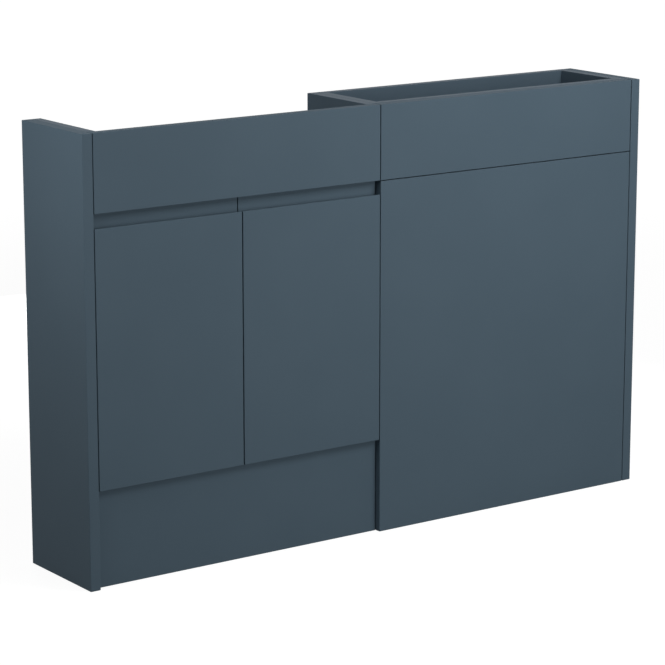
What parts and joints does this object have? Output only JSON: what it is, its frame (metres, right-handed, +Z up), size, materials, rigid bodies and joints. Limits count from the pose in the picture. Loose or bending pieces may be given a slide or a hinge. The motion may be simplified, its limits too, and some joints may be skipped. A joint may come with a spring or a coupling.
{
  "type": "toilet and basin combination unit",
  "caption": "Slim fitted bathroom run: a handleless basin unit with plinth beside a toilet unit with removable top fascia, between full-height end panels.",
  "frame": {"origin": "on the floor, under the middle of the run's overall box", "axes": "+X along the run from the basin unit to the toilet unit, +Y towards the wall, +Z up; the fronts face -Y"},
  "size_m": [1.24, 0.2056, 0.8],
  "materials": {
    "fronts": "matt blue-grey foil-wrapped fibreboard",
    "carcass": "matt blue-grey melamine-faced board",
    "hinge_steel": "nickel-plated pressed steel",
    "screw_steel": "zinc-plated",
    "leg_plastic": "moulded black polypropylene",
    "clip_nylon": "moulded natural nylon",
    "buffer": "soft clear pad"
  },
  "bodies": {
    "cabinet": {"end_panel_left": "fronts", "end_panel_right": "fronts", "basin_side_left": "carcass", "basin_side_right": "carcass", "basin_base": "carcass", "basin_front_rail": "carcass", "basin_back_rail": "carcass", "basin_lower_rail": "carcass", "basin_fascia": "fronts", "fascia_blocks": "leg_plastic", "fascia_block_screws": "screw_steel", "hinge_arms_left": "hinge_steel", "hinge_arms_right": "hinge_steel", "hinge_plates_left": "hinge_steel", "hinge_plates_right": "hinge_steel", "hinge_plate_screws": "screw_steel", "leg_sockets": "leg_plastic", "leg_screws": "screw_steel", "wc_side_left": "carcass", "wc_side_right": "carcass", "wc_back_rail": "carcass", "wc_front_rail": "carcass", "wc_mid_rail": "carcass", "wc_bottom_rail": "carcass", "wc_lower_panel": "fronts", "panel_blocks": "leg_plastic", "panel_block_screws": "screw_steel", "clip_sockets": "leg_plastic", "basin_carcass_screws": "screw_steel", "wc_carcass_screws": "screw_steel", "connector_screws": "screw_steel", "end_panel_screws": "screw_steel"},
    "door_left": {"door_left": "fronts", "door_buffers_left": "buffer", "hinge_cups_left": "hinge_steel", "hinge_cup_screws_left": "screw_steel"},
    "door_right": {"door_right": "fronts", "door_buffers_right": "buffer", "hinge_cups_right": "hinge_steel", "hinge_cup_screws_right": "screw_steel"},
    "access_fascia": {"wc_fascia": "fronts", "fascia_clips": "clip_nylon"},
    "plinth": {"plinth": "fronts", "plinth_clips": "leg_plastic", "plinth_clip_screws": "screw_steel"},
    "foot_front_left": {"foot_front_left": "leg_plastic"},
    "foot_front_right": {"foot_front_right": "leg_plastic"},
    "foot_back_left": {"foot_back_left": "leg_plastic"},
    "foot_back_right": {"foot_back_right": "leg_plastic"}
  },
  "joints": [
    {"name": "door_left_hinge", "type": "hinge", "parent": "cabinet", "child": "door_left", "pos_m": [-0.5935, -0.09975, 0.41875], "axis": [0, 0, -1], "range_deg": [0, 110]},
    {"name": "door_right_hinge", "type": "hinge", "parent": "cabinet", "child": "door_right", "pos_m": [-0.00575, -0.09975, 0.41875], "axis": [0, 0, 1], "range_deg": [0, 110]},
    {"name": "access_fascia_pull", "type": "slide", "parent": "cabinet", "child": "access_fascia", "axis": [0, -1, 0], "range_m": [0, 0.06]},
    {"name": "plinth_pull", "type": "slide", "parent": "cabinet", "child": "plinth", "axis": [0, -1, 0], "range_m": [0, 0.1]},
    {"name": "foot_front_left_screw", "type": "slide", "parent": "cabinet", "child": "foot_front_left", "axis": [0, 0, 1], "range_m": [-0.01, 0.015]},
    {"name": "foot_front_right_screw", "type": "slide", "parent": "cabinet", "child": "foot_front_right", "axis": [0, 0, 1], "range_m": [-0.01, 0.015]},
    {"name": "foot_back_left_screw", "type": "slide", "parent": "cabinet", "child": "foot_back_left", "axis": [0, 0, 1], "range_m": [-0.01, 0.015]},
    {"name": "foot_back_right_screw", "type": "slide", "parent": "cabinet", "child": "foot_back_right", "axis": [0, 0, 1], "range_m": [-0.01, 0.015]}
  ]
}
